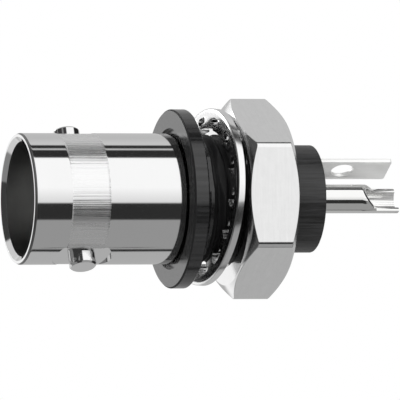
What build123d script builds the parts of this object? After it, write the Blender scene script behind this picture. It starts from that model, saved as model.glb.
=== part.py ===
from build123d import *
from math import radians, sqrt, tan
import os

# Bayonet coaxial socket for a panel, insulated from the panel by its black bush.
# X is the plug axis and runs towards the solder end. X = 0 is the back face of the flange,
# which seats on the front of the panel. Millimetres.

# How the socket is turned about its axis, in degrees
socket_turn = 25.0  # bayonet pins, from upright
tab_turn = 6.0  # solder tab, past the pins
cup_turn = 50.0  # open side of the solder cup, from upright towards -Y
nut_turn = 2.9  # hexagon, from a corner straight up

# What bears on the panel: flange, lock washer and nut follow one seat
seat_d = 13.20
washer_under = 0.10  # washer short of the seat, on diameter
nut_under = 0.25  # across flats short of the seat

# Clearances
slip = 0.02  # between pieces that slide together at assembly
thread_play = 0.05  # nut on barrel, radial

# Shell, the outer contact: a plated brass turning
shell_d = 9.65
shell_reach = 12.75  # mouth in front of the panel
lip_chamfer = 0.05  # outside, radial
lip_chamfer_length = 0.15
mouth_chamfer = 0.32
mouth_bore_d = 8.46
mouth_bore_length = 3.00
socket_bore_d = 8.10
socket_depth = 8.40
band_from_mouth = 2.88  # ground band that carries the pins
band_length = 2.83
band_sink = 0.04
stem_d = 6.60
stem_end = 6.30
core_bore_d = 5.20
stem_floor = 0.50  # end wall of the stem
spigot_d = 4.00
spigot_length = 0.60
spigot_bore_d = 3.00

# Bayonet pins, pressed into the shell on small round flats
pin_d = 2.00
pin_tip_radius = 5.50  # from the plug axis
pin_from_mouth = 4.33
pin_seat_depth = 0.42  # into the wall, under the flat
pin_edge = 0.12
spot_d = 4.40
spot_depth = 0.22

# Insulating bush: flange and barrel in one moulding
flange_d = seat_d
flange_thickness = 1.15
flange_edge = 0.10
recess_d = 10.40
recess_depth = 0.35
barrel_d = 9.50
barrel_length = 6.30
barrel_chamfer = 0.40
flat_depth = 0.33  # keyway flat that stops it turning in the panel
relief_start = 0.55
relief_width = 0.40
relief_depth = 0.15
cap_socket_d = 7.30
cap_socket_depth = 1.00

# Rear insulator, the cap that closes the bush
cap_d = 7.95
cap_end = 9.75
cap_edge = 0.08
cap_wall = 2.75  # solid end that grips tab and contact
foot_room_d = 6.20

# Dielectrics
nose_d = 4.70
nose_setback = 3.20  # behind the mouth
joint_x = 0.60  # where the two dielectrics meet

# Centre contact: slotted socket in front, solder cup behind
contact_d = 2.13
contact_setback = 0.15  # behind the nose
pin_hole_d = 1.37
pin_hole_depth = 4.20
pin_hole_chamfer = 0.15
finger_slot = 0.22
finger_length = 3.20
finger_count = 4
collar_d = 3.20
collar_length = 0.80
contact_end = 16.50
cup_d = 1.50
cup_depth = 4.15
drill_point = 0.30  # cone at the bottom of each drilled hole
scoop_length = 1.75  # open side of the cup
scoop_below_axis = 0.10

# Solder tab: ring foot and bent strip, one stamping
sheet = 0.30
foot_d = 5.20
strip_radius = 2.60  # middle of the strip from the axis
strip_width = 2.42
strip_end = 16.20
strip_corner = 0.15
bend_radius = 0.20
tab_hole_d = 1.70
tab_hole_from_end = 3.57

# Lock washer with inner teeth, loose on the barrel
washer_d = seat_d - washer_under
washer_thickness = 0.60
washer_rim = 0.60
washer_teeth = 14
tooth_gap = 1.45  # hole between two teeth, along the rim
tooth_gap_height = 0.75
tooth_gap_corner = 0.38
tooth_waist = 0.40  # straight part of the hole's sides
tooth_slit = 0.36
tooth_overlap = 0.15  # blade into its root
tooth_twist = 9.0  # degrees about the tooth's own middle line
washer_play = 0.31  # tooth tips to barrel, radial
washer_x = 1.68
washer_rise = 0.14  # middle above the plug axis, within the play
washer_swing = 6.0  # near side towards the nut, degrees
washer_lean = 4.7  # top towards the nut, degrees

# Hexagon nut
nut_across_flats = seat_d - nut_under
nut_thickness = 3.85
nut_gap = 3.08  # panel seat to nut at rest
nut_face_d = 12.70  # where the chamfer meets the end face
nut_chamfer_angle = 30.0
nut_countersink = 0.25

# Places along X that follow from the sizes above
mouth_x = -shell_reach
socket_floor_x = mouth_x + socket_depth
pin_x = mouth_x + pin_from_mouth
shoulder_x = -flange_thickness + recess_depth
stem_floor_x = stem_end - stem_floor
spigot_end_x = stem_end + spigot_length
nose_x = mouth_x + nose_setback
contact_x = nose_x + contact_setback
collar_x = joint_x - collar_length / 2
skirt_x = barrel_length - cap_socket_depth
cap_floor_x = cap_end - cap_wall


def turned(*points):
    """Closed profile of (x, radius) points, spun about the plug axis."""
    return revolve(make_face(Polyline(*points, close=True)), Axis.X)


def rod(diameter, x0, x1):
    return extrude(Plane.YZ.offset(x0) * Circle(diameter / 2), amount=x1 - x0)


def upright_rod(diameter, x, z0, z1):
    return extrude(Plane.XY.offset(z0) * Pos(X=x) * Circle(diameter / 2), amount=z1 - z0)


def make_shell():
    r = shell_d / 2
    lip_r = r - lip_chamfer
    band_r = r - band_sink
    band_x0 = mouth_x + band_from_mouth
    band_x1 = band_x0 + band_length
    mouth_r = mouth_bore_d / 2
    outside = [
        (mouth_x, lip_r),
        (mouth_x + lip_chamfer_length, r),
        (band_x0, r),
        (band_x0, band_r),
        (band_x1, band_r),
        (band_x1, r),
        (shoulder_x, r),
        (shoulder_x, stem_d / 2),
        (stem_end, stem_d / 2),
        (stem_end, spigot_d / 2),
        (spigot_end_x, spigot_d / 2),
    ]
    inside = [
        (spigot_end_x, spigot_bore_d / 2),
        (stem_floor_x, spigot_bore_d / 2),
        (stem_floor_x, core_bore_d / 2),
        (socket_floor_x, core_bore_d / 2),
        (socket_floor_x, socket_bore_d / 2),
        (mouth_x + mouth_bore_length, socket_bore_d / 2),
        (mouth_x + mouth_bore_length, mouth_r),
        (mouth_x + mouth_chamfer, mouth_r),
        (mouth_x, mouth_r + mouth_chamfer),
    ]
    shell = turned(*outside, *inside)
    flat_z = r - spot_depth
    spot = upright_rod(spot_d, pin_x, flat_z, shell_d)
    seat = upright_rod(pin_d, pin_x, flat_z - pin_seat_depth, flat_z)
    for turn in (0, 180):
        shell -= Rot(X=turn) * spot
        shell -= Rot(X=turn) * seat
    return shell


def make_pin(turn):
    foot_z = shell_d / 2 - spot_depth - pin_seat_depth
    pin = upright_rod(pin_d, pin_x, foot_z, pin_tip_radius)
    tip = pin.faces().sort_by(Axis.Z)[-1]
    return Rot(X=turn) * chamfer(tip.edges(), pin_edge)


def make_bush():
    bore_r = stem_d / 2
    barrel_r = barrel_d / 2
    relief_r = barrel_r - relief_depth
    relief_end = relief_start + relief_width
    bush = turned(
        (-flange_thickness, recess_d / 2),
        (-flange_thickness, flange_d / 2 - flange_edge),
        (-flange_thickness + flange_edge, flange_d / 2),
        (-flange_edge, flange_d / 2),
        (0, flange_d / 2 - flange_edge),
        (0, barrel_r),
        (relief_start, barrel_r),
        (relief_start + relief_depth, relief_r),
        (relief_end - relief_depth, relief_r),
        (relief_end, barrel_r),
        (barrel_length - barrel_chamfer, barrel_r),
        (barrel_length, barrel_r - barrel_chamfer),
        (barrel_length, cap_socket_d / 2),
        (skirt_x, cap_socket_d / 2),
        (skirt_x, bore_r),
        (shoulder_x, bore_r),
        (shoulder_x, recess_d / 2),
    )
    # The flat faces square to the line of the bayonet pins.
    beyond = Pos(barrel_length / 2, -(barrel_r - flat_depth), 0) * Box(
        barrel_length, barrel_d, barrel_d, align=(Align.CENTER, Align.MAX, Align.CENTER)
    )
    return bush - beyond


def make_cap():
    r = cap_d / 2
    cap = turned(
        (skirt_x, stem_d / 2 + slip),
        (skirt_x, cap_socket_d / 2 - slip),
        (barrel_length, cap_socket_d / 2 - slip),
        (barrel_length, r),
        (cap_end - cap_edge, r),
        (cap_end, r - cap_edge),
        (cap_end, contact_d / 2 + slip),
        (cap_floor_x, contact_d / 2 + slip),
        (cap_floor_x, foot_room_d / 2),
        (stem_end, foot_room_d / 2),
        (stem_end, stem_d / 2 + slip),
    )
    slot = Box(cap_end - cap_floor_x, strip_width + 2 * slip, sheet + 2 * slip)
    slot_x = (cap_end + cap_floor_x) / 2
    return cap - Rot(X=-tab_turn) * Pos(slot_x, 0, strip_radius) * slot


def make_front_dielectric():
    contact_r = contact_d / 2 + slip
    collar_r = collar_d / 2 + slip
    return turned(
        (nose_x, contact_r),
        (nose_x, nose_d / 2),
        (socket_floor_x, nose_d / 2),
        (socket_floor_x, core_bore_d / 2),
        (joint_x, core_bore_d / 2),
        (joint_x, collar_r),
        (collar_x, collar_r),
        (collar_x, contact_r),
    )


def make_rear_dielectric():
    contact_r = contact_d / 2 + slip
    collar_r = collar_d / 2 + slip
    collar_end = collar_x + collar_length
    return turned(
        (joint_x, collar_r),
        (joint_x, core_bore_d / 2),
        (stem_floor_x, core_bore_d / 2),
        (stem_floor_x, spigot_bore_d / 2),
        (spigot_end_x, spigot_bore_d / 2),
        (spigot_end_x, contact_r),
        (collar_end, contact_r),
        (collar_end, collar_r),
    )


def make_contact():
    r = contact_d / 2
    hole_r = pin_hole_d / 2
    hole_end = contact_x + pin_hole_depth
    cup_floor = contact_end - cup_depth
    contact = turned(
        (contact_x, hole_r + pin_hole_chamfer),
        (contact_x, r),
        (collar_x, r),
        (collar_x, collar_d / 2),
        (collar_x + collar_length, collar_d / 2),
        (collar_x + collar_length, r),
        (contact_end, r),
        (contact_end, cup_d / 2),
        (cup_floor, cup_d / 2),
        (cup_floor - drill_point, 0),
        (hole_end + drill_point, 0),
        (hole_end, hole_r),
        (contact_x + pin_hole_chamfer, hole_r),
    )
    for n in range(finger_count // 2):
        saw = Box(finger_length, 2 * contact_d, finger_slot)
        contact -= Rot(X=45 + n * 90) * Pos(contact_x + finger_length / 2) * saw
    return contact - make_scoop()


def make_scoop():
    """What is milled off the open side of the cup, with a run-in at 45 degrees."""
    start = contact_end - scoop_length
    clear = contact_d
    side = Polyline(
        (start, -scoop_below_axis),
        (start - clear - scoop_below_axis, clear),
        (contact_end + clear, clear),
        (contact_end + clear, -scoop_below_axis),
        close=True,
    )
    return extrude(Plane.XZ * make_face(side), amount=clear, both=True)


def make_tab():
    inner = strip_radius - sheet / 2
    outer = strip_radius + sheet / 2
    turn_r = bend_radius + sheet
    path = Polyline(
        (stem_end, 0),
        (stem_end, outer),
        (strip_end, outer),
        (strip_end, inner),
        (stem_end + sheet, inner),
        (stem_end + sheet, 0),
        close=True,
    )
    side = make_face(path)
    corner = side.vertices().sort_by_distance((stem_end, outer, 0))[0]
    side = fillet(corner, turn_r)
    corner = side.vertices().sort_by_distance((stem_end + sheet, inner, 0))[0]
    side = fillet(corner, bend_radius)
    strip = extrude(Plane.XZ * side, amount=strip_width / 2, both=True)
    ends = strip.edges().filter_by(Axis.Z).group_by(Axis.X)[-1]
    strip = fillet(ends, strip_corner)
    tab = strip + rod(foot_d, stem_end, stem_end + sheet)
    tab -= rod(spigot_d, stem_end - sheet, stem_end + 2 * sheet)
    tab -= upright_rod(tab_hole_d, strip_end - tab_hole_from_end, 0, 2 * outer)
    return Rot(X=-tab_turn) * tab


def make_washer():
    """A flat rim with short roots, and on each root a blade turned about its own middle line."""
    tip_r = barrel_d / 2 + washer_play
    outer_r = washer_d / 2
    root_r = outer_r - washer_rim
    gap_r = root_r - tooth_gap_height
    waist_r = root_r - tooth_waist
    half = washer_thickness / 2
    step = 360 / washer_teeth
    spread = tan(radians(step / 2))
    ring = Circle(outer_r) - Circle(waist_r)
    hole = Pos(root_r) * Rectangle(2 * tooth_waist, tooth_gap, align=(Align.MAX, Align.CENTER))
    hole = fillet(hole.vertices().group_by(Axis.X)[-1], tooth_gap_corner)
    for n in range(washer_teeth):
        ring -= Rot(Z=(n + 0.5) * step) * hole
    # Half widths of a blade at its tip, where its hole begins and at its waist
    tip_w = tip_r * spread - tooth_slit / 2
    wide_w = gap_r * spread - tooth_slit / 2
    waist_w = waist_r * spread - tooth_gap / 2
    blade = make_face(
        Polyline(
            (tip_r, -tip_w),
            (gap_r, -wide_w),
            (waist_r, -waist_w),
            (waist_r + tooth_overlap, -waist_w),
            (waist_r + tooth_overlap, waist_w),
            (waist_r, waist_w),
            (gap_r, wide_w),
            (tip_r, tip_w),
            close=True,
        )
    )
    blade = Rot(X=tooth_twist) * extrude(blade, amount=half, both=True)
    washer = extrude(ring, amount=half, both=True)
    for n in range(washer_teeth):
        washer += Rot(Z=n * step) * blade
    return Pos(washer_x, 0, washer_rise) * Rot(Z=washer_swing) * Rot(Y=washer_lean) * Rot(Y=90) * washer


def make_nut():
    corner_r = nut_across_flats / sqrt(3)
    face_r = nut_face_d / 2
    end = nut_gap + nut_thickness
    bore_r = barrel_d / 2 + thread_play
    drop = (corner_r - face_r) * tan(radians(nut_chamfer_angle))
    hexagon = Plane.YZ.offset(nut_gap) * RegularPolygon(corner_r, 6, rotation=30)
    body = turned(
        (nut_gap, bore_r + nut_countersink),
        (nut_gap, face_r),
        (nut_gap + drop, corner_r),
        (end - drop, corner_r),
        (end, face_r),
        (end, bore_r + nut_countersink),
        (end - nut_countersink, bore_r),
        (nut_gap + nut_countersink, bore_r),
    )
    return extrude(hexagon, amount=nut_thickness) & body


# Pieces that turn with the socket about its axis
socket_pieces = {
    "shell": make_shell(),
    "bayonet_pin_upper": make_pin(0),
    "bayonet_pin_lower": make_pin(180),
    "insulating_bush": make_bush(),
    "rear_insulator": make_cap(),
    "front_dielectric": make_front_dielectric(),
    "rear_dielectric": make_rear_dielectric(),
    "ground_tab": make_tab(),
}
pieces = {name: Rot(X=-socket_turn) * piece for name, piece in socket_pieces.items()}
pieces["centre_contact"] = Rot(X=cup_turn) * make_contact()
pieces["lock_washer"] = make_washer()
pieces["hex_nut"] = Rot(X=-nut_turn) * make_nut()

os.makedirs("parts", exist_ok=True)
for name, piece in pieces.items():
    export_step(piece, f"parts/{name}.step")
    print(name, round(piece.volume, 2))
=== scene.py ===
import bmesh
import bpy
from math import cos, pi, radians, sin, sqrt, tan
from mathutils import Matrix, Vector


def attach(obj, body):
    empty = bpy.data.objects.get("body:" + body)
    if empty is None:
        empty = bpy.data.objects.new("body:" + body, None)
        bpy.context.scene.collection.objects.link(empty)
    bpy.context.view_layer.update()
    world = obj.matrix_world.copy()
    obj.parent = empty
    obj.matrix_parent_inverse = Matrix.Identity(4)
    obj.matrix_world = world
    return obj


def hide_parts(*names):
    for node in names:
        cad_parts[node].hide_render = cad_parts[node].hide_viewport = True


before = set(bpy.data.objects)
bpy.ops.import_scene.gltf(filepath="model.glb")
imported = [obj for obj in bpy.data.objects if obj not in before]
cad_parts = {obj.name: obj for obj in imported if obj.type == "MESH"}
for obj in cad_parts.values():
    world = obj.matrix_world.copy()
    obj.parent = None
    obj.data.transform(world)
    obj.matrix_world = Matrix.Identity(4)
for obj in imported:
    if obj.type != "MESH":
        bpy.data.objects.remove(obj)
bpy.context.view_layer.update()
mm = 0.001

# the X axis is the plug axis, and the pieces' sizes are in millimetres, as on the drawing


# sockets that take part in sums, and a tree that places nodes

class Wire:
    def __init__(self, tree, socket):
        self.tree, self.socket = tree, socket

    def join(self, operation, *values):
        return self.tree.put("ShaderNodeMath", dict(enumerate(values)), operation=operation).out()

    def __add__(self, other): return self.join("ADD", self, other)
    def __radd__(self, other): return self.join("ADD", other, self)
    def __sub__(self, other): return self.join("SUBTRACT", self, other)
    def __rsub__(self, other): return self.join("SUBTRACT", other, self)
    def __mul__(self, other): return self.join("MULTIPLY", self, other)
    def __rmul__(self, other): return self.join("MULTIPLY", other, self)
    def __truediv__(self, other): return self.join("DIVIDE", self, other)
    def __rtruediv__(self, other): return self.join("DIVIDE", other, self)

    def call(self, operation, *others): return self.join(operation, self, *others)
    def limit(self, low=0.0, high=1.0): return self.call("MAXIMUM", low).call("MINIMUM", high)
    def fade(self, zero, one): return ((self - zero) / (one - zero)).limit()  # 0 at the first value, 1 at the second
    def above(self, value): return self.call("GREATER_THAN", value)
    def below(self, value): return self.call("LESS_THAN", value)


class Placed:
    def __init__(self, tree, node):
        self.tree, self.node = tree, node

    def out(self, key=0): return Wire(self.tree, self.node.outputs[key])


class Tree:
    def __init__(self, nodeTree):
        self.nodeTree = nodeTree

    def put(self, kind, values=None, **settings):
        node = self.nodeTree.nodes.new(kind)
        for key, value in settings.items():
            if key != "stops":
                setattr(node, key, value)
                continue
            ramp = node.color_ramp
            while len(ramp.elements) > 1:
                ramp.elements.remove(ramp.elements[-1])
            for n, (place, level) in enumerate(value):
                stop = ramp.elements[0] if n == 0 else ramp.elements.new(place)
                stop.position, stop.color = place, (level, level, level, 1)
        for key, value in (values or {}).items():
            if isinstance(value, Wire):
                self.nodeTree.links.new(value.socket, node.inputs[key])
            else:
                node.inputs[key].default_value = value
        return Placed(self, node)


# finishes

def newFinish(name):
    finish = bpy.data.materials.new(name)
    finish.use_nodes = True
    finish.node_tree.nodes.clear()
    return finish, Tree(finish.node_tree)


def streaks(tree, scale, detail=3.0):
    # noise drawn out along the axes whose scale is small
    here = tree.put("ShaderNodeTexCoord").out("Object")
    place = tree.put("ShaderNodeMapping", {"Vector": here, "Scale": scale}).out()
    noise = tree.put("ShaderNodeTexNoise", {"Vector": place, "Scale": 1.0, "Detail": detail, "Roughness": 0.6})
    return noise.out("Fac")


def vary(noise, amount): return (noise - 0.5) * amount


def tint(tree, tone, colour):
    return tree.put("ShaderNodeCombineColor", {n: tone * part for n, part in enumerate(colour)}).out()


metalRange = {"tone": (0.0, 1.3), "roughness": (0.03, 0.9)}
plasticRange = {"tone": (0.0, 1.6), "roughness": (0.05, 0.9), "grainRough": 0.1}


def makeMetal(name, look):
    finish, tree = newFinish(name)
    marks = streaks(tree, look["marks"])
    cloud = streaks(tree, look["cloud"])
    tone = vary(marks, look["markTone"]) + vary(cloud, look["cloudTone"]) + 1.0
    rough = vary(marks, look["markRough"]) + vary(cloud, look["cloudRough"]) + look["roughness"]
    bump = tree.put("ShaderNodeBump", {"Strength": 1.0, "Distance": look["markDepth"], "Height": marks}).out()
    metal = tree.put("ShaderNodeBsdfPrincipled", {
        "Base Color": tint(tree, tone.limit(*metalRange["tone"]), look["colour"]),
        "Metallic": look.get("metallic", 1.0), "Roughness": rough.limit(*metalRange["roughness"]), "Normal": bump,
    }).out()
    tree.put("ShaderNodeOutputMaterial", {"Surface": metal})
    return finish


def makePlastic(name, look):
    finish, tree = newFinish(name)
    flow = streaks(tree, look["flow"])
    grain = streaks(tree, look["grain"], detail=2.0)
    tone = vary(flow, look["flowTone"]) + 1.0
    rough = vary(flow, look["flowRough"]) + vary(grain, plasticRange["grainRough"]) + look["roughness"]
    height = flow * look["flowDepth"] + grain * look["grainDepth"]
    bump = tree.put("ShaderNodeBump", {"Strength": 1.0, "Distance": 1.0, "Height": height}).out()
    plastic = tree.put("ShaderNodeBsdfPrincipled", {
        "Base Color": tint(tree, tone.limit(*plasticRange["tone"]), look["colour"]),
        "Roughness": rough.limit(*plasticRange["roughness"]), "IOR": look["ior"], "Normal": bump,
    }).out()
    tree.put("ShaderNodeOutputMaterial", {"Surface": plastic})
    return finish


# what each finish is like: marks and flow are the noise's scale along x, y and z, depths are in metres
metalLooks = {
    "mirrorNickel": {
        "colour": (0.83, 0.83, 0.83), "roughness": 0.07,
        "marks": (9000, 150, 150), "markTone": 0.02, "markRough": 0.03, "markDepth": 2e-8,
        "cloud": (300, 300, 300), "cloudTone": 0.03, "cloudRough": 0.03,
    },
    "satinNickel": {
        "colour": (0.90, 0.90, 0.90), "roughness": 0.28,
        "marks": (60, 5200, 5200), "markTone": 0.25, "markRough": 0.30, "markDepth": 2.6e-5,
        "cloud": (500, 500, 500), "cloudTone": 0.05, "cloudRough": 0.04,
    },
    # painted shade: a dark copy of the shell's nickel, laid on the bore and on the mouth's rounded outer lip as the
    # shade inside the bore and a dark line along the lip
    "paintedShadeNickel": {
        "colour": (0.28, 0.28, 0.28), "roughness": 0.42,
        "marks": (9000, 150, 150), "markTone": 0.10, "markRough": 0.06, "markDepth": 3e-7,
        "cloud": (900, 900, 900), "cloudTone": 0.30, "cloudRough": 0.06,
    },
    "nutNickel": {
        "colour": (0.84, 0.84, 0.84), "roughness": 0.11,
        "marks": (6000, 400, 400), "markTone": 0.10, "markRough": 0.05, "markDepth": 8e-8,
        "cloud": (1500, 1500, 1500), "cloudTone": 0.09, "cloudRough": 0.05,
    },
    "washerSteel": {
        "colour": (0.86, 0.86, 0.86), "roughness": 0.18,
        "marks": (2500, 2500, 2500), "markTone": 0.05, "markRough": 0.08, "markDepth": 3e-7,
        "cloud": (500, 500, 500), "cloudTone": 0.05, "cloudRough": 0.06,
    },
    "terminalSilver": {
        "colour": (0.86, 0.86, 0.85), "roughness": 0.075,
        "marks": (300, 5000, 5000), "markTone": 0.04, "markRough": 0.06, "markDepth": 1.2e-7,
        "cloud": (600, 600, 600), "cloudTone": 0.06, "cloudRough": 0.06,
    },
    "cupSilver": {
        "colour": (0.95, 0.95, 0.94), "roughness": 0.15, "metallic": 0.85,
        "marks": (300, 5000, 5000), "markTone": 0.06, "markRough": 0.06, "markDepth": 2e-7,
        "cloud": (900, 900, 900), "cloudTone": 0.06, "cloudRough": 0.06,
    },
    "tabSilver": {
        "colour": (0.90, 0.90, 0.89), "roughness": 0.30, "metallic": 0.50,
        "marks": (300, 5000, 5000), "markTone": 0.08, "markRough": 0.08, "markDepth": 3e-7,
        "cloud": (900, 900, 900), "cloudTone": 0.08, "cloudRough": 0.06,
    },
}
plasticLooks = {
    "mattPlastic": {
        "colour": (0.010, 0.010, 0.0105), "roughness": 0.62, "ior": 1.45,
        "flow": (120, 2600, 2600), "flowTone": 0.5, "flowRough": 0.10, "flowDepth": 1e-6,
        "grain": (6000, 6000, 6000), "grainDepth": 4e-7,
    },
    "blackPlastic": {
        "colour": (0.013, 0.013, 0.0135), "roughness": 0.19, "ior": 1.60,
        "flow": (150, 3600, 3600), "flowTone": 4.0, "flowRough": 0.24, "flowDepth": 6e-6,
        "grain": (6000, 6000, 6000), "grainDepth": 4e-7,
    },
    "capPlastic": {
        "colour": (0.016, 0.016, 0.0165), "roughness": 0.42, "ior": 1.55,
        "flow": (260, 5200, 5200), "flowTone": 5.0, "flowRough": 0.35, "flowDepth": 2.4e-5,
        "grain": (6000, 6000, 6000), "grainDepth": 4e-7,
    },
    "whiteDielectric": {
        "colour": (0.84, 0.84, 0.82), "roughness": 0.42, "ior": 1.38,
        "flow": (4000, 200, 200), "flowTone": 0.04, "flowRough": 0.1, "flowDepth": 6e-7,
        "grain": (5000, 5000, 5000), "grainDepth": 3e-7,
    },
}
finishes = {name: makeMetal(name, look) for name, look in metalLooks.items()}
finishes.update({name: makePlastic(name, look) for name, look in plasticLooks.items()})
print("finishes ready:", len(finishes))


# making meshes

def link(name, mesh, *materials):
    piece = bpy.data.objects.new(name, mesh)
    bpy.context.scene.collection.objects.link(piece)
    for material in materials:
        mesh.materials.append(finishes[material])
    return piece


def toMesh(work, name):
    mesh = bpy.data.meshes.new(name)
    work.to_mesh(mesh)
    work.free()
    return mesh


def lathe(name, points, steps=192, materials=("mirrorNickel",), paint=None):
    # a closed profile of (x, radius) spun about the plug axis; paint(x, radius) picks a material
    work = bmesh.new()
    rings = []
    for x, r in points:
        angles = [2 * pi * n / steps for n in range(steps if r else 1)]  # a point on the axis stays one point
        rings.append([work.verts.new((x * mm, r * mm * cos(a), r * mm * sin(a))) for a in angles])
    for i in range(len(points)):
        j = (i + 1) % len(points)
        a, b = rings[i], rings[j]
        x, r = [0.5 * (first + second) for first, second in zip(points[i], points[j])]
        for n in range(steps):
            m = (n + 1) % steps
            corners = [a[n % len(a)], a[m % len(a)], b[m % len(b)], b[n % len(b)]]
            corners = list(dict.fromkeys(corners))
            if len(corners) > 2:
                face = work.faces.new(corners)
                face.material_index = paint(x, r) if paint else 0
    bmesh.ops.recalc_face_normals(work, faces=work.faces)
    return link(name, toMesh(work, name), *materials)


def bake(piece):
    # the modifiers become plain mesh
    bpy.context.view_layer.update()
    shape = bpy.data.meshes.new_from_object(piece.evaluated_get(bpy.context.evaluated_depsgraph_get()))
    piece.modifiers.clear()
    piece.data = shape
    return piece


def smooth(piece, angle):
    piece.data.shade_smooth()
    piece.data.set_sharp_from_angle(angle=radians(angle))
    return piece


def soften(piece, width, segments=2, angle=28):
    bevel = piece.modifiers.new("edges", "BEVEL")
    bevel.width, bevel.segments, bevel.limit_method = width * mm, segments, "ANGLE"
    bevel.angle_limit = radians(angle)
    bevel.harden_normals = True
    piece.data.shade_smooth()
    return bake(piece)


def cutAway(piece, *cutters):
    for n, cutter in enumerate(cutters):
        cut = piece.modifiers.new(f"cut{n}", "BOOLEAN")
        cut.operation, cut.solver, cut.object = "DIFFERENCE", "EXACT", cutter
    bake(piece)
    for cutter in cutters:
        bpy.data.objects.remove(cutter)
    return piece


def place(piece, matrix):
    piece.data.transform(matrix)
    return piece


def turnX(angle): return Matrix.Rotation(radians(angle), 4, "X")
def turnY(angle): return Matrix.Rotation(radians(angle), 4, "Y")
def turnZ(angle): return Matrix.Rotation(radians(angle), 4, "Z")
def shift(x=0.0, y=0.0, z=0.0): return Matrix.Translation((x * mm, y * mm, z * mm))


def upright(name, points, steps=96):
    # a lathe whose axis is Z: points are (z, radius)
    return place(lathe(name, points, steps), turnY(-90))


def block(name, size, middle):
    work = bmesh.new()
    sides = Matrix.Diagonal([side * mm for side in size] + [1])
    bmesh.ops.create_cube(work, size=1.0, matrix=shift(*middle) @ sides)
    return link(name, toMesh(work, name))


joinDistance = 5e-7  # metres; points closer than this are one


def copyNode(node, name, material):
    # the drawing's own form, with its loose triangles joined up
    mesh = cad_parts[node].data.copy()
    mesh.materials.clear()
    work = bmesh.new()
    work.from_mesh(mesh)
    closeBy, nearlyFlat = 2e-7, radians(0.4)
    bmesh.ops.remove_doubles(work, verts=work.verts, dist=closeBy)
    bmesh.ops.dissolve_limit(work, angle_limit=nearlyFlat, verts=work.verts, edges=work.edges)
    work.to_mesh(mesh)
    work.free()
    return link(name, mesh, material)


def addMesh(piece, other):
    # joins another object's mesh into the piece; both carry the same materials
    work = bmesh.new()
    work.from_mesh(piece.data)
    work.from_mesh(other.data)
    bmesh.ops.remove_doubles(work, verts=work.verts, dist=joinDistance)
    work.to_mesh(piece.data)
    work.free()
    bpy.data.objects.remove(other)
    return piece


def finishPiece(piece, body, slotName, *nodes):
    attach(piece, body)
    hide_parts(*nodes)


# shell

shellLook = {
    "radius": 4.825, "mouth": -12.75, "lip": 0.08, "lipLength": 0.18, "mouthChamfer": 0.32,
    "mouthBore": 4.23, "mouthDepth": 3.00, "socketBore": 4.05, "socketDepth": 8.40,
    "bandStart": 2.88, "bandLength": 2.83, "bandSink": 0.04, "shoulder": -0.80,
    # close rings before and after an edge keep the shine beside it straight
    "lipRing": 0.05, "bandStartRings": (-0.09, -0.04, 0.04, 0.09), "bandEndRings": (-0.12, -0.07, 0.04, 0.09),
    "stem": 3.30, "stemEnd": 6.30, "core": 2.60, "stemFloor": 0.50,
    "spigot": 2.00, "spigotLength": 0.60, "spigotBore": 1.50,
    "spot": 2.20, "spotDepth": 0.22, "pinPlace": 4.33, "turn": 25.0, "edge": 0.03, "steps": 256,
}
pinLook = {"radius": 1.0, "tip": 5.50, "foot": 4.185, "chamfer": 0.12, "edge": 0.025}
hair = 0.01  # millimetres of slack where a paint function picks faces


def makeShell(look):
    r, mouth = look["radius"], look["mouth"]
    band = mouth + look["bandStart"]
    bandEnd = band + look["bandLength"]
    sunk = r - look["bandSink"]
    lipEnd = mouth + look["lipLength"]
    stemEnd, spigotEnd = look["stemEnd"], look["stemEnd"] + look["spigotLength"]
    floor = stemEnd - look["stemFloor"]
    step, bottom = mouth + look["mouthDepth"], mouth + look["socketDepth"]
    points = [
        (mouth, r - look["lip"]), (lipEnd, r), (lipEnd + look["lipRing"], r),
        *[(band + away, r if away < 0 else sunk) for away in look["bandStartRings"]],
        *[(bandEnd + away, sunk if away < 0 else r) for away in look["bandEndRings"]],
        (look["shoulder"], r), (look["shoulder"], look["stem"]), (stemEnd, look["stem"]),
        (stemEnd, look["spigot"]), (spigotEnd, look["spigot"]), (spigotEnd, look["spigotBore"]),
        (floor, look["spigotBore"]), (floor, look["core"]), (bottom, look["core"]),
        (bottom, look["socketBore"]), (step, look["socketBore"]), (step, look["mouthBore"]),
        (mouth + look["mouthChamfer"], look["mouthBore"]), (mouth, look["mouthBore"] + look["mouthChamfer"]),
    ]

    def paint(x, radius):
        # material 2 is painted shade: faces nearer the axis than the mouth's bore, and the lip's rounded outer edge,
        # take the dark copy of the nickel
        if radius < look["mouthBore"] + hair or x < lipEnd and radius > r - look["lip"]:
            return 2
        return 1 if band - hair < x < bandEnd + hair and radius > sunk - hair else 0

    shell = lathe("shellBody", points, look["steps"], ("mirrorNickel", "satinNickel", "paintedShadeNickel"), paint)
    spots = []
    for angle in (0, 180):  # the round flats that the pins stand on
        depth, wide = r - look["spotDepth"], look["spot"]
        flat = upright("spotCutter", [(depth, 0), (depth, wide), (2 * r, wide), (2 * r, 0)])
        spots.append(place(flat, turnX(angle) @ shift(x=mouth + look["pinPlace"])))
    cutAway(shell, *spots)
    place(shell, turnX(-look["turn"]))
    return soften(shell, look["edge"])


def makePin(name, look, angle):
    points = [(look["foot"], 0), (look["foot"], look["radius"]), (look["tip"] - look["chamfer"], look["radius"]),
              (look["tip"], look["radius"] - look["chamfer"]), (look["tip"], 0)]
    pin = upright(name, points)
    place(pin, turnX(angle) @ shift(x=shellLook["mouth"] + shellLook["pinPlace"]))
    return soften(pin, look["edge"])


finishPiece(makeShell(shellLook), "socket", "nickel", "shell")
for name, node, angle in (("bayonetPinUpper", "bayonet_pin_upper", 0), ("bayonetPinLower", "bayonet_pin_lower", 180)):
    finishPiece(makePin(name, pinLook, angle - shellLook["turn"]), "socket", "nickel", node)
print("shell and bayonet pins done")


# screw thread, used outside the barrel and inside the nut

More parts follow.
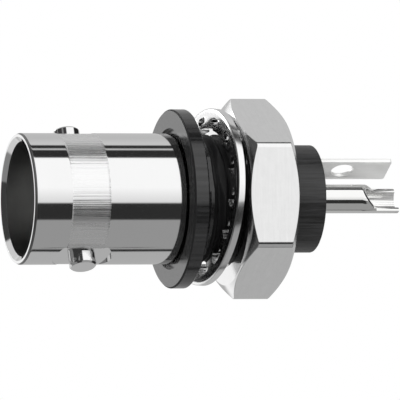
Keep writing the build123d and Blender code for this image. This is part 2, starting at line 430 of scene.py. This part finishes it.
def threadTree():
    group = bpy.data.node_groups.new("threadForm", "GeometryNodeTree")
    group.interface.new_socket("Geometry", in_out="OUTPUT", socket_type="NodeSocketGeometry")
    for name, kind, value in (
        ("Pitch", "Float", 0.794), ("Radius", "Float", 4.75), ("Depth", "Float", 0.43),
        ("Start", "Float", 0.95), ("End", "Float", 6.3), ("Chamfer", "Float", 0.4),
        ("Side", "Float", 1.0),  # 1 for a thread outside a barrel, -1 for one inside a nut
        ("Flat Distance", "Float", 9.0), ("Flat Turn", "Float", 0.0),
        ("Steps Round", "Int", 96), ("Steps Along", "Int", 14), ("Material", "Material", None),
    ):
        socket = group.interface.new_socket(name, in_out="INPUT", socket_type="NodeSocket" + kind)
        if value is not None:
            socket.default_value = value
    tree = Tree(group)
    given = tree.put("NodeGroupInput")
    pitch, radius, depth = given.out("Pitch"), given.out("Radius"), given.out("Depth")
    start, end, chamfer, side = given.out("Start"), given.out("End"), given.out("Chamfer"), given.out("Side")
    steepness, grooveFloor = 1.5, 0.18  # the flanks' slope, and the part of it that the groove's floor takes
    turns = ((end - start) / pitch + 2.0).call("CEIL")
    grid = tree.put("GeometryNodeMeshGrid", {
        "Size X": 1.0, "Size Y": 1.0, "Vertices X": turns * given.out("Steps Round") + 1.0,
        "Vertices Y": given.out("Steps Along"),
    })
    spot = tree.put("ShaderNodeSeparateXYZ", {0: tree.put("GeometryNodeInputPosition").out()})
    around = (spot.out("X") + 0.5) * turns
    across = spot.out("Y") + 0.5
    raw = start - pitch + pitch * (around + across)
    x = raw.limit(start, end)
    outside = raw.above(end) + raw.below(start)
    ridge = 1.0 - (across * 2.0 - 1.0).call("ABSOLUTE")  # 1 on the crest, 0 in the groove
    rise = (ridge * steepness - grooveFloor).limit()
    plain = radius - depth * (1.0 - rise)
    ends = (end - x).call("MINIMUM", x - start)
    bound = radius - side * (chamfer - ends)
    cut = side * (side * plain).call("MINIMUM", side * bound)
    reach = cut + outside * (bound - cut)
    angle = around * (2 * pi)
    y = reach * angle.call("COSINE")
    z = reach * angle.call("SINE")
    flatTurn = given.out("Flat Turn")
    faceY = 0.0 - flatTurn.call("COSINE")
    faceZ = flatTurn.call("SINE")
    over = (y * faceY + z * faceZ - given.out("Flat Distance")).call("MAXIMUM", 0.0)
    moved = tree.put("ShaderNodeCombineXYZ", {0: x * mm, 1: (y - over * faceY) * mm, 2: (z - over * faceZ) * mm}).out()
    shaped = tree.put("GeometryNodeSetPosition", {"Geometry": grid.out("Mesh"), "Position": moved}).out()
    whole = tree.put("GeometryNodeMergeByDistance", {"Geometry": shaped, "Distance": joinDistance}).out()
    real = tree.put("GeometryNodeRealizeInstances", {"Geometry": whole}).out()
    dressed = tree.put("GeometryNodeSetMaterial", {"Geometry": real, "Material": given.out("Material")}).out()
    tree.put("NodeGroupOutput", {0: dressed})
    return group


def grow(name, group, values, material, mesh=None):
    # an object that the node group shapes, with its inputs set by name
    piece = link(name, mesh or bpy.data.meshes.new(name))
    nodes = piece.modifiers.new("form", "NODES")
    nodes.node_group = group
    values = dict(values, Material=finishes[material])
    for item in group.interface.items_tree:
        if item.item_type == "SOCKET" and item.in_out == "INPUT" and item.name in values:
            nodes[item.identifier] = values[item.name]
    return piece


threadForm = threadTree()


def makeThread(name, values, material):
    piece = bake(grow(name, threadForm, values, material))
    if values["Side"] < 0:
        piece.data.flip_normals()
    return piece


# insulating bush

bushLook = {
    "flange": 6.60, "thickness": 1.15, "edge": 0.11, "recess": 5.20, "recessDepth": 0.35,
    "barrel": 4.75, "end": 6.30, "relief": (0.55, 0.40, 0.15), "bore": 3.30,
    "capSocket": (3.65, 1.00), "flat": 0.33, "flatStart": 0.02, "chamfer": 0.40, "soft": 0.04, "turn": 25.0,
    "sunk": 0.02,  # how far the barrel's core stays under the thread's groove
}
barrelThread = {
    "Pitch": 0.79375, "Radius": 4.75, "Depth": 0.40, "Start": 0.95, "End": 6.30, "Chamfer": 0.40,
    "Side": 1.0, "Flat Distance": 4.42, "Flat Turn": radians(25.0), "Steps Round": 120, "Steps Along": 13,
}


def makeBush(look):
    b, front = look["barrel"], -look["thickness"]
    begin, width, depth = look["relief"]
    capR, capDeep = look["capSocket"]
    under = b - barrelThread["Depth"] - look["sunk"]
    edge = look["edge"]
    rows = [(0, b), (begin, b), (begin + depth, b - depth), (begin + width, b - depth), (begin + width, under)]
    points = [
        (front, look["recess"]), (front, look["flange"] - edge), (front + edge, look["flange"]),
        (-edge, look["flange"]), (0, look["flange"] - edge),
        *rows, (look["end"], under), (look["end"], b - look["chamfer"]),
        (look["end"], capR), (look["end"] - capDeep, capR), (look["end"] - capDeep, look["bore"]),
        (front + look["recessDepth"], look["bore"]), (front + look["recessDepth"], look["recess"]),
    ]

    def paint(x, radius):
        return 1 if x < 0 and radius > look["flange"] - edge and x < front + edge else 0

    bush = lathe("insulatingBush", points, materials=("blackPlastic", "mattPlastic"), paint=paint)
    # the key flat, which thread and barrel share
    turn = radians(look["turn"])
    facing = Vector((0, -cos(turn), sin(turn)))
    for v in bush.data.vertices:
        if v.co.x > look["flatStart"] * mm:
            over = v.co.dot(facing) - (b - look["flat"]) * mm
            if over > 0:
                v.co -= facing * over
    soften(bush, look["soft"], 3)
    thread = smooth(makeThread("barrelThread", barrelThread, "blackPlastic"), 40)
    return addMesh(bush, thread)


finishPiece(makeBush(bushLook), "socket", "black_plastic", "insulating_bush")
print("bush and its thread done")


# rear cap

capLook = {
    "radius": 3.975, "start": 5.30, "seat": 6.30, "end": 9.75, "neck": 3.63, "bore": 1.085,
    "wall": 2.75, "room": 3.10, "stemRoom": 3.32, "edge": 0.08,
}


def makeCap(look):
    floor = look["end"] - look["wall"]
    points = [
        (look["start"], look["stemRoom"]), (look["start"], look["neck"]), (look["seat"], look["neck"]),
        (look["seat"], look["radius"]), (look["end"], look["radius"]), (look["end"], look["bore"]),
        (floor, look["bore"]), (floor, look["room"]), (look["seat"], look["room"]), (look["seat"], look["stemRoom"]),
    ]
    return soften(lathe("rearCap", points, materials=("capPlastic",)), look["edge"], 3)


finishPiece(makeCap(capLook), "socket", "black_plastic", "rear_insulator")


# contact, insulators and tab

contactLook = {
    "radius": 1.065, "front": -9.40, "hole": 0.685, "holeDepth": 4.20, "holeChamfer": 0.15,
    "collar": (1.60, 0.20, 1.00), "end": 16.50, "cup": 0.75, "cupDepth": 4.15, "point": 0.30,
    "slot": (0.22, 3.20), "fingers": 4, "overrun": 0.10, "scoop": 1.75, "below": 0.10, "turn": 50.0,
    "edge": 0.02, "steps": 128,
    "ring": 0.10,  # spare rings beside the stem's ends keep its shine straight
}


def makeMill(look, r):
    # what opens the cup, with its run-in at 45 degrees
    begin, clear, low = look["end"] - look["scoop"], 2 * r, -look["below"]
    outline = [(begin, low), (begin - clear + low, clear), (look["end"] + clear, clear), (look["end"] + clear, low)]
    work = bmesh.new()
    ends = [[work.verts.new((x * mm, y * mm, z * mm)) for x, z in outline] for y in (-clear, clear)]
    work.faces.new(ends[0])
    work.faces.new(ends[1])
    for n in range(4):
        m = (n + 1) % 4
        work.faces.new([ends[0][n], ends[0][m], ends[1][m], ends[1][n]])
    bmesh.ops.recalc_face_normals(work, faces=work.faces)
    return link("mill", toMesh(work, "mill"))


def makeContact(look):
    r, front, end = look["radius"], look["front"], look["end"]
    holeEnd, cupFloor = front + look["holeDepth"], end - look["cupDepth"]
    collarR, collarStart, collarEnd = look["collar"]
    ring, overrun = look["ring"], look["overrun"]
    milled = end - look["scoop"] - look["below"] - r
    points = [
        (front, look["hole"] + look["holeChamfer"]), (front, r), (collarStart, r), (collarStart, collarR),
        (collarEnd, collarR), (collarEnd, r), (collarEnd + ring, r), (milled - ring, r),
        (end, r), (end, look["cup"]), (cupFloor, look["cup"]),
        (cupFloor - look["point"], 0), (holeEnd + look["point"], 0), (holeEnd, look["hole"]),
        (front + look["holeChamfer"], look["hole"]),
    ]

    def paint(x, radius):
        return 1 if x > cupFloor - look["point"] and radius < r - hair else 0

    contact = lathe("centreContact", points, look["steps"], ("terminalSilver", "cupSilver"), paint)
    wide, deep = look["slot"]
    cutters = []
    for n in range(look["fingers"] // 2):
        saw = block("saw", (deep + 2 * overrun, 4 * r, wide), (front + deep / 2 - overrun, 0, 0))
        cutters.append(place(saw, turnX(45 + 90 * n)))
    cutters.append(makeMill(look, r))
    cutAway(contact, *cutters)
    place(contact, turnX(look["turn"]))
    return smooth(soften(contact, look["edge"]), 30)


finishPiece(makeContact(contactLook), "socket", "terminal_silver", "centre_contact")

# pieces that keep the drawing's form, with their edges softened
plainLooks = {
    "front_dielectric": ("frontDielectric", "whiteDielectric", "white_dielectric", 0.04),
    "rear_dielectric": ("rearDielectric", "whiteDielectric", "white_dielectric", 0.04),
    "ground_tab": ("groundTab", "tabSilver", "terminal_silver", 0.03),
}
for node, (name, material, slotName, edge) in plainLooks.items():
    finishPiece(soften(copyNode(node, name, material), edge, angle=30), "socket", slotName, node)
print("cap, insulators, contact and tab done")


# lock washer with twisted inner teeth

washerLook = {
    "outer": 6.547, "rim": 0.60, "thickness": 0.60, "teeth": 14, "tip": 5.06, "slit": 0.36,
    "gap": 1.45, "gapHeight": 0.75, "corner": 0.38, "waist": 0.40, "twist": 9.0,
    "x": 1.68, "rise": 0.14, "swing": 6.0, "lean": 4.7, "edge": 0.045, "roll": (0.40, 0.16),
    "toothRows": 22, "rimRows": 10, "across": 6, "beside": 6, "twistEase": 1.5, "joinDistance": 2e-6,
}


def toothSheet(look):
    # one tooth and its stretch of rim, as a sheet in the washer's own plane
    step = 2 * pi / look["teeth"]
    root = look["outer"] - look["rim"]
    waist, shoulder, corner = root - look["waist"], root - look["gapHeight"], look["corner"]

    def halfWidth(r):
        if r >= waist:
            gap = look["gap"] / 2
            into = r - (root - corner)
            if into > 0:
                gap -= corner - sqrt(max(corner * corner - into * into, 0))
            return r * tan(step / 2) - gap
        slitWidth = r * tan(step / 2) - look["slit"] / 2
        if r <= shoulder:
            return slitWidth
        t = (r - shoulder) / (waist - shoulder)
        t = t * t * (3 - 2 * t)
        return slitWidth * (1 - t) + (waist * tan(step / 2) - look["gap"] / 2) * t

    work = bmesh.new()
    toothRows, rimRows, across, beside = look["toothRows"], look["rimRows"], look["across"], look["beside"]
    inner = [look["tip"] + (root - look["tip"]) * n / toothRows for n in range(toothRows + 1)]
    outer = [root + look["rim"] * sin(pi / 2 * n / rimRows) for n in range(1, rimRows + 1)]
    rows = []
    for r in inner + outer:
        w = halfWidth(min(r, root)) / min(r, root)
        angles = [-w + 2 * w * n / across for n in range(across + 1)]
        if r >= root:
            more = [w + (step / 2 - w) * n / beside for n in range(1, beside + 1)]
            angles = [-a for a in reversed(more)] + angles + more
        along = max(0, min(1, (r - shoulder) / (root - shoulder)))
        tilt = radians(look["twist"]) * (1 - along ** look["twistEase"]) if r < root else 0
        row = []
        for a in angles:
            x, t = r * cos(a), r * sin(a)
            row.append(work.verts.new((x * mm, t * cos(tilt) * mm, t * sin(tilt) * mm)))
        rows.append(row)
    for low, high in zip(rows, rows[1:]):
        skip = (len(high) - len(low)) // 2
        part = high[skip:skip + len(low)]
        for n in range(len(low) - 1):
            work.faces.new([low[n], part[n], part[n + 1], low[n + 1]])
    return toMesh(work, "toothSheet")


def ringTree():
    group = bpy.data.node_groups.new("ringOf", "GeometryNodeTree")
    group.interface.new_socket("Geometry", in_out="OUTPUT", socket_type="NodeSocketGeometry")
    inputs = {"Geometry": "Geometry", "Count": "Int", "Join Distance": "Float", "Material": "Material"}
    for name, kind in inputs.items():
        group.interface.new_socket(name, in_out="INPUT", socket_type="NodeSocket" + kind)
    tree = Tree(group)
    given = tree.put("NodeGroupInput")
    points = tree.put("GeometryNodePoints", {"Count": given.out("Count")}).out()
    turn = tree.put("GeometryNodeInputIndex").out() / given.out("Count") * (2 * pi)
    facing = tree.put("ShaderNodeCombineXYZ", {2: turn}).out()
    copies = tree.put("GeometryNodeInstanceOnPoints", {
        "Points": points, "Instance": given.out("Geometry"), "Rotation": facing,
    }).out()
    real = tree.put("GeometryNodeRealizeInstances", {"Geometry": copies}).out()
    whole = tree.put("GeometryNodeMergeByDistance", {
        "Geometry": real, "Distance": given.out("Join Distance"),
    }).out()
    dressed = tree.put("GeometryNodeSetMaterial", {"Geometry": whole, "Material": given.out("Material")}).out()
    tree.put("NodeGroupOutput", {0: dressed})
    return group


def makeWasher(look):
    values = {"Count": look["teeth"], "Join Distance": look["joinDistance"]}
    washer = grow("lockWasher", ringTree(), values, "washerSteel", toothSheet(look))
    bake(washer)
    thick = washer.modifiers.new("thick", "SOLIDIFY")
    thick.thickness, thick.offset, thick.use_even_offset = look["thickness"] * mm, 0.0, True
    bake(washer)
    # the stamping's rolled edge, on the side that faces the flange
    wide, deep = look["roll"]
    for v in washer.data.vertices:
        into = (sqrt(v.co.x ** 2 + v.co.y ** 2) / mm - look["outer"] + wide) / wide
        if v.co.z < 0 and into > 0:
            v.co.z += deep * mm * (1 - sqrt(max(0.0, 1 - into * into)))
    # it hangs askew on the barrel, as in the photograph
    place(washer, shift(look["x"], 0, look["rise"]) @ turnZ(look["swing"]) @ turnY(look["lean"]) @ turnY(90))
    return soften(washer, look["edge"], angle=40)


finishPiece(makeWasher(washerLook), "washer", "washer_steel", "lock_washer")
print("lock washer done")


# hexagon nut

nutLook = {
    "flats": 12.95, "start": 3.08, "thickness": 3.85, "face": 6.35, "chamfer": 30.0, "corner": 0.50,
    "countersink": 0.25, "turn": 2.9, "edge": 0.022, "play": 0.06, "flatSteps": 10, "cornerSteps": 6,
    "flatAway": 9.0,  # the barrel's key flat, set so far out that the nut's thread has none
}


def hexOutline(look):
    apothem, rc = look["flats"] / 2, look["corner"]
    flatSteps, cornerSteps = look["flatSteps"], look["cornerSteps"]
    centre = (apothem - rc) / cos(radians(30))
    start = (apothem - rc) * tan(radians(30))
    evenly = [start * (k - flatSteps + 1) / flatSteps for k in range(2 * flatSteps - 1)]
    points = []
    for n in range(6):
        middle = radians(60 * n)
        centreAngle = middle + radians(30)
        for t in [-start, look["edge"] - start, *evenly, start - look["edge"]]:  # along the flat
            points.append((apothem * cos(middle) - t * sin(middle), apothem * sin(middle) + t * cos(middle)))
        for k in range(cornerSteps):  # round the corner
            a = middle + radians(60 / cornerSteps * k)
            points.append((centre * cos(centreAngle) + rc * cos(a), centre * sin(centreAngle) + rc * sin(a)))
    return points


def makeNut(look):
    x0, x1 = look["start"], look["start"] + look["thickness"]
    slope = tan(radians(look["chamfer"]))
    sink = barrelThread["Radius"] + look["play"] + look["countersink"]
    rim = hexOutline(look)
    work = bmesh.new()

    def ring(x, scale):
        made = []
        for y, z in rim:
            r = sqrt(y * y + z * z)
            radius, place = scale(r)
            made.append(work.verts.new((place * mm, y / r * radius * mm, z / r * radius * mm)))
        return made

    # each edge is a narrow facet between two close rings, so that the faces beside it shine flat
    face, e = look["face"], look["edge"]
    rings = []
    for x, way in ((x0, 1), (x1, -1)):
        side = [ring(x, lambda r: (sink, x))]
        side += [ring(x, lambda r: (face - k * e, x)) for k in (2, 1)]
        side += [ring(x, lambda r: (face + k * e, x + way * k * e * slope)) for k in (1, 2)]
        side += [ring(x, lambda r: (r - k * e, x + way * (r - k * e - face) * slope)) for k in (2, 1)]
        side += [ring(x, lambda r: (r, x + way * ((r - face) * slope + k * e))) for k in (1, 2)]
        rings += side[::way]
    for a, b in zip(rings, rings[1:]):
        for n in range(len(rim)):
            m = (n + 1) % len(rim)
            work.faces.new([a[n], b[n], b[m], a[m]])
    inner = work.faces.new(list(reversed(rings[0])))
    outer = work.faces.new(rings[-1])
    bmesh.ops.recalc_face_normals(work, faces=work.faces)
    bmesh.ops.delete(work, geom=[inner, outer], context="FACES_ONLY")
    nut = link("hexNut", toMesh(work, "hexNut"), "nutNickel")
    place(nut, turnX(-look["turn"]))
    # the same helix as the barrel's, so that the two mesh all the way
    values = {
        **barrelThread, "Radius": barrelThread["Radius"] + look["play"], "Start": x0, "End": x1,
        "Chamfer": look["countersink"], "Side": -1.0, "Flat Distance": look["flatAway"],
    }
    ahead = (x0 - barrelThread["Start"]) / barrelThread["Pitch"]
    thread = makeThread("nutThread", values, "nutNickel")
    place(thread, turnX(-360 * ahead))
    return smooth(addMesh(nut, thread), 36)


finishPiece(makeNut(nutLook), "nut", "nut_nickel", "hex_nut")
print("nut done")


# studio: a world that only mirrors show, a pale floor, a camera and one soft lamp

worldLook = {
    "ambient": 0.95, "gap": 0.03, "softness": 2.0,
    # panels round the plug axis as the metal sees them: from and to in degrees above the viewer, and level
    "panels": [
        (-180, -107, 0.47), (-98.5, -38, 0.34), (-6, 20, 0.82), (20, 76, 1.12), (96.8, 98.6, 0.62),
        (110, 134, 0.68), (134, 180, 0.56),
    ],
    # the same for what stands beyond the mouth's end, which takes over where x falls through turnsAt
    "beyond": [
        (-180, -160, 1.02), (-150, -122, 0.70), (-118, -64, 0.25), (-60, 110, 0.05), (114, 150, 0.70),
        (160, 180, 1.02),
    ],
    "turnsAt": (-0.10, -0.20),
    "card": {"level": 0.08, "x": (-0.68, -0.74), "from": 116},  # dark, straight before the mouth
    "sky": {"level": 5.0, "z": (0.20, 0.30, 0.48, 0.56), "x": -0.35, "y": 0.6},  # bright, high up behind the mouth's end
    "veil": {"level": 0.05, "x": (-0.37, -0.21), "from": 60, "to": 138},  # a dark strip, above and below
    # these two lift the dark parts that only the views from behind mirror
    "rearFill": {"level": 0.32, "x": (0.54, 0.64)},
    "frontFill": {"level": 0.26, "x": (-0.70, -0.67, -0.54, -0.50), "from": 52},
    "endCard": {"level": 0.02, "x": (0.74, 0.80), "from": 50},  # dark, past the solder end
}


def panelStops(look):
    # the panels as stops of a ramp over -180 to 180 degrees, with a dark gap wherever two of them don't touch
    soft, dark = look["softness"], look["gap"]
    starts = [start for start, end, level in look["panels"]]
    stops, last = [(-180, look["panels"][0][2])], None
    for start, end, level in look["panels"]:
        if start > -180 and start != last:
            stops.append((start - soft, dark))
        if start > -180:
            stops.append((start, level))
        if end < 180 and end not in starts:
            stops += [(end, level), (end + soft, dark)]
        last = end
    return stops


def makeWorld(look):
    world = bpy.data.worlds.new("studio")
    bpy.context.scene.world = world
    world.use_nodes = True
    world.node_tree.nodes.clear()
    tree = Tree(world.node_tree)
    way = tree.put("ShaderNodeSeparateXYZ", {0: tree.put("ShaderNodeTexCoord").out("Generated")})
    x, y, z = way.out("X"), way.out("Y"), way.out("Z")
    angle = z.call("ARCTAN2", 0.0 - y) * (180 / pi)
    turned = angle.call("ABSOLUTE")

    def ramp(stops):
        placed = [((degrees + 180) / 360, level) for degrees, level in stops]
        return tree.put("ShaderNodeValToRGB", {0: (angle + 180.0) / 360.0}, stops=placed).out()

    def blend(under, mask, level):
        return under + mask * (level - under)

    beyond = ramp([(degrees, level) for start, end, level in look["beyond"] for degrees in (start, end)])
    card, sky, veil = look["card"], look["sky"], look["veil"]
    beyond = blend(beyond, x.fade(*card["x"]) * turned.above(card["from"]), card["level"])
    low, lowFull, highFull, high = sky["z"]
    patch = z.fade(low, lowFull) * z.fade(high, highFull) * x.below(sky["x"]) * y.above(sky["y"])
    beyond = blend(beyond, patch, sky["level"])
    start, end = veil["x"]
    patch = x.above(start) * x.below(end) * turned.above(veil["from"]) * turned.below(veil["to"])
    beyond = blend(beyond, patch, veil["level"])
    mirrored = blend(ramp(panelStops(look)), x.fade(*look["turnsAt"]), beyond)

    rear, front, endCard = look["rearFill"], look["frontFill"], look["endCard"]
    mirrored = mirrored.call("MAXIMUM", x.fade(*rear["x"]) * rear["level"])
    low, lowFull, highFull, high = front["x"]
    patch = x.fade(low, lowFull) * x.fade(high, highFull) * angle.above(front["from"])
    mirrored = mirrored.call("MAXIMUM", patch * front["level"])
    mirrored = blend(mirrored, x.fade(*endCard["x"]) * turned.above(endCard["from"]), endCard["level"])

    rays = tree.put("ShaderNodeLightPath")
    glossy, seen = rays.out("Is Glossy Ray"), rays.out("Is Camera Ray")
    level = seen + (1.0 - seen) * (glossy * mirrored + (1.0 - glossy) * look["ambient"])
    light = tree.put("ShaderNodeBackground", {"Color": (1, 1, 1, 1), "Strength": level}).out()
    tree.put("ShaderNodeOutputWorld", {"Surface": light})
    world.cycles.sampling_method = "NONE"


floorLook = {
    "z": -20.0, "radius": 200.0, "steps": 96,
    "tone": 0.88, "cloud": (60, 60, 60), "cloudTone": 0.01, "roughness": 0.9,
}


def makeFloor(look):
    work = bmesh.new()
    level = shift(z=look["z"])
    bmesh.ops.create_circle(work, cap_ends=True, segments=look["steps"], radius=look["radius"] * mm, matrix=level)
    finish, tree = newFinish("palePaper")
    tone = look["tone"] + vary(streaks(tree, look["cloud"]), look["cloudTone"])
    paper = tree.put("ShaderNodeBsdfPrincipled", {
        "Base Color": tint(tree, tone, (1.0, 1.0, 1.0)), "Roughness": look["roughness"],
    }).out()
    tree.put("ShaderNodeOutputMaterial", {"Surface": paper})
    finishes["palePaper"] = finish
    floor = link("floor", toMesh(work, "floor"), "palePaper")
    floor.visible_glossy = False


cameraLook = {
    "azimuth": -17.0, "aim": (1.22, 0.0, -0.08), "distance": 600.0, "frameWidth": 29.48, "sensor": 36.0,
    "clip": (0.01, 10.0),  # metres
}


def makeCamera(look):
    camera = bpy.data.objects.new("camera", bpy.data.cameras.new("camera"))
    bpy.context.scene.collection.objects.link(camera)
    a = radians(look["azimuth"])
    back = Vector((sin(a), -cos(a), 0))
    aim = Vector(look["aim"]) * mm
    camera.location = aim + back * look["distance"] * mm
    camera.rotation_euler = (-back).to_track_quat("-Z", "Y").to_euler()
    camera.data.sensor_width = look["sensor"]
    camera.data.lens = look["sensor"] * look["distance"] / look["frameWidth"]
    camera.data.clip_start, camera.data.clip_end = look["clip"]
    bpy.context.scene.camera = camera


lampLook = {"place": (-0.15, -0.35, 0.45), "size": 0.30, "power": 1.2}  # metres and watts


def makeLamp(look):
    lamp = bpy.data.objects.new("softKey", bpy.data.lights.new("softKey", "AREA"))
    bpy.context.scene.collection.objects.link(lamp)
    lamp.data.shape, lamp.data.size = "DISK", look["size"]
    lamp.data.energy = look["power"]
    lamp.location = look["place"]
    lamp.rotation_euler = (-Vector(look["place"])).to_track_quat("-Z", "Y").to_euler()
    lamp.visible_glossy = False


makeWorld(worldLook)
makeFloor(floorLook)
makeCamera(cameraLook)
makeLamp(lampLook)
bpy.context.scene.view_settings.view_transform = "Standard"
print("studio ready")
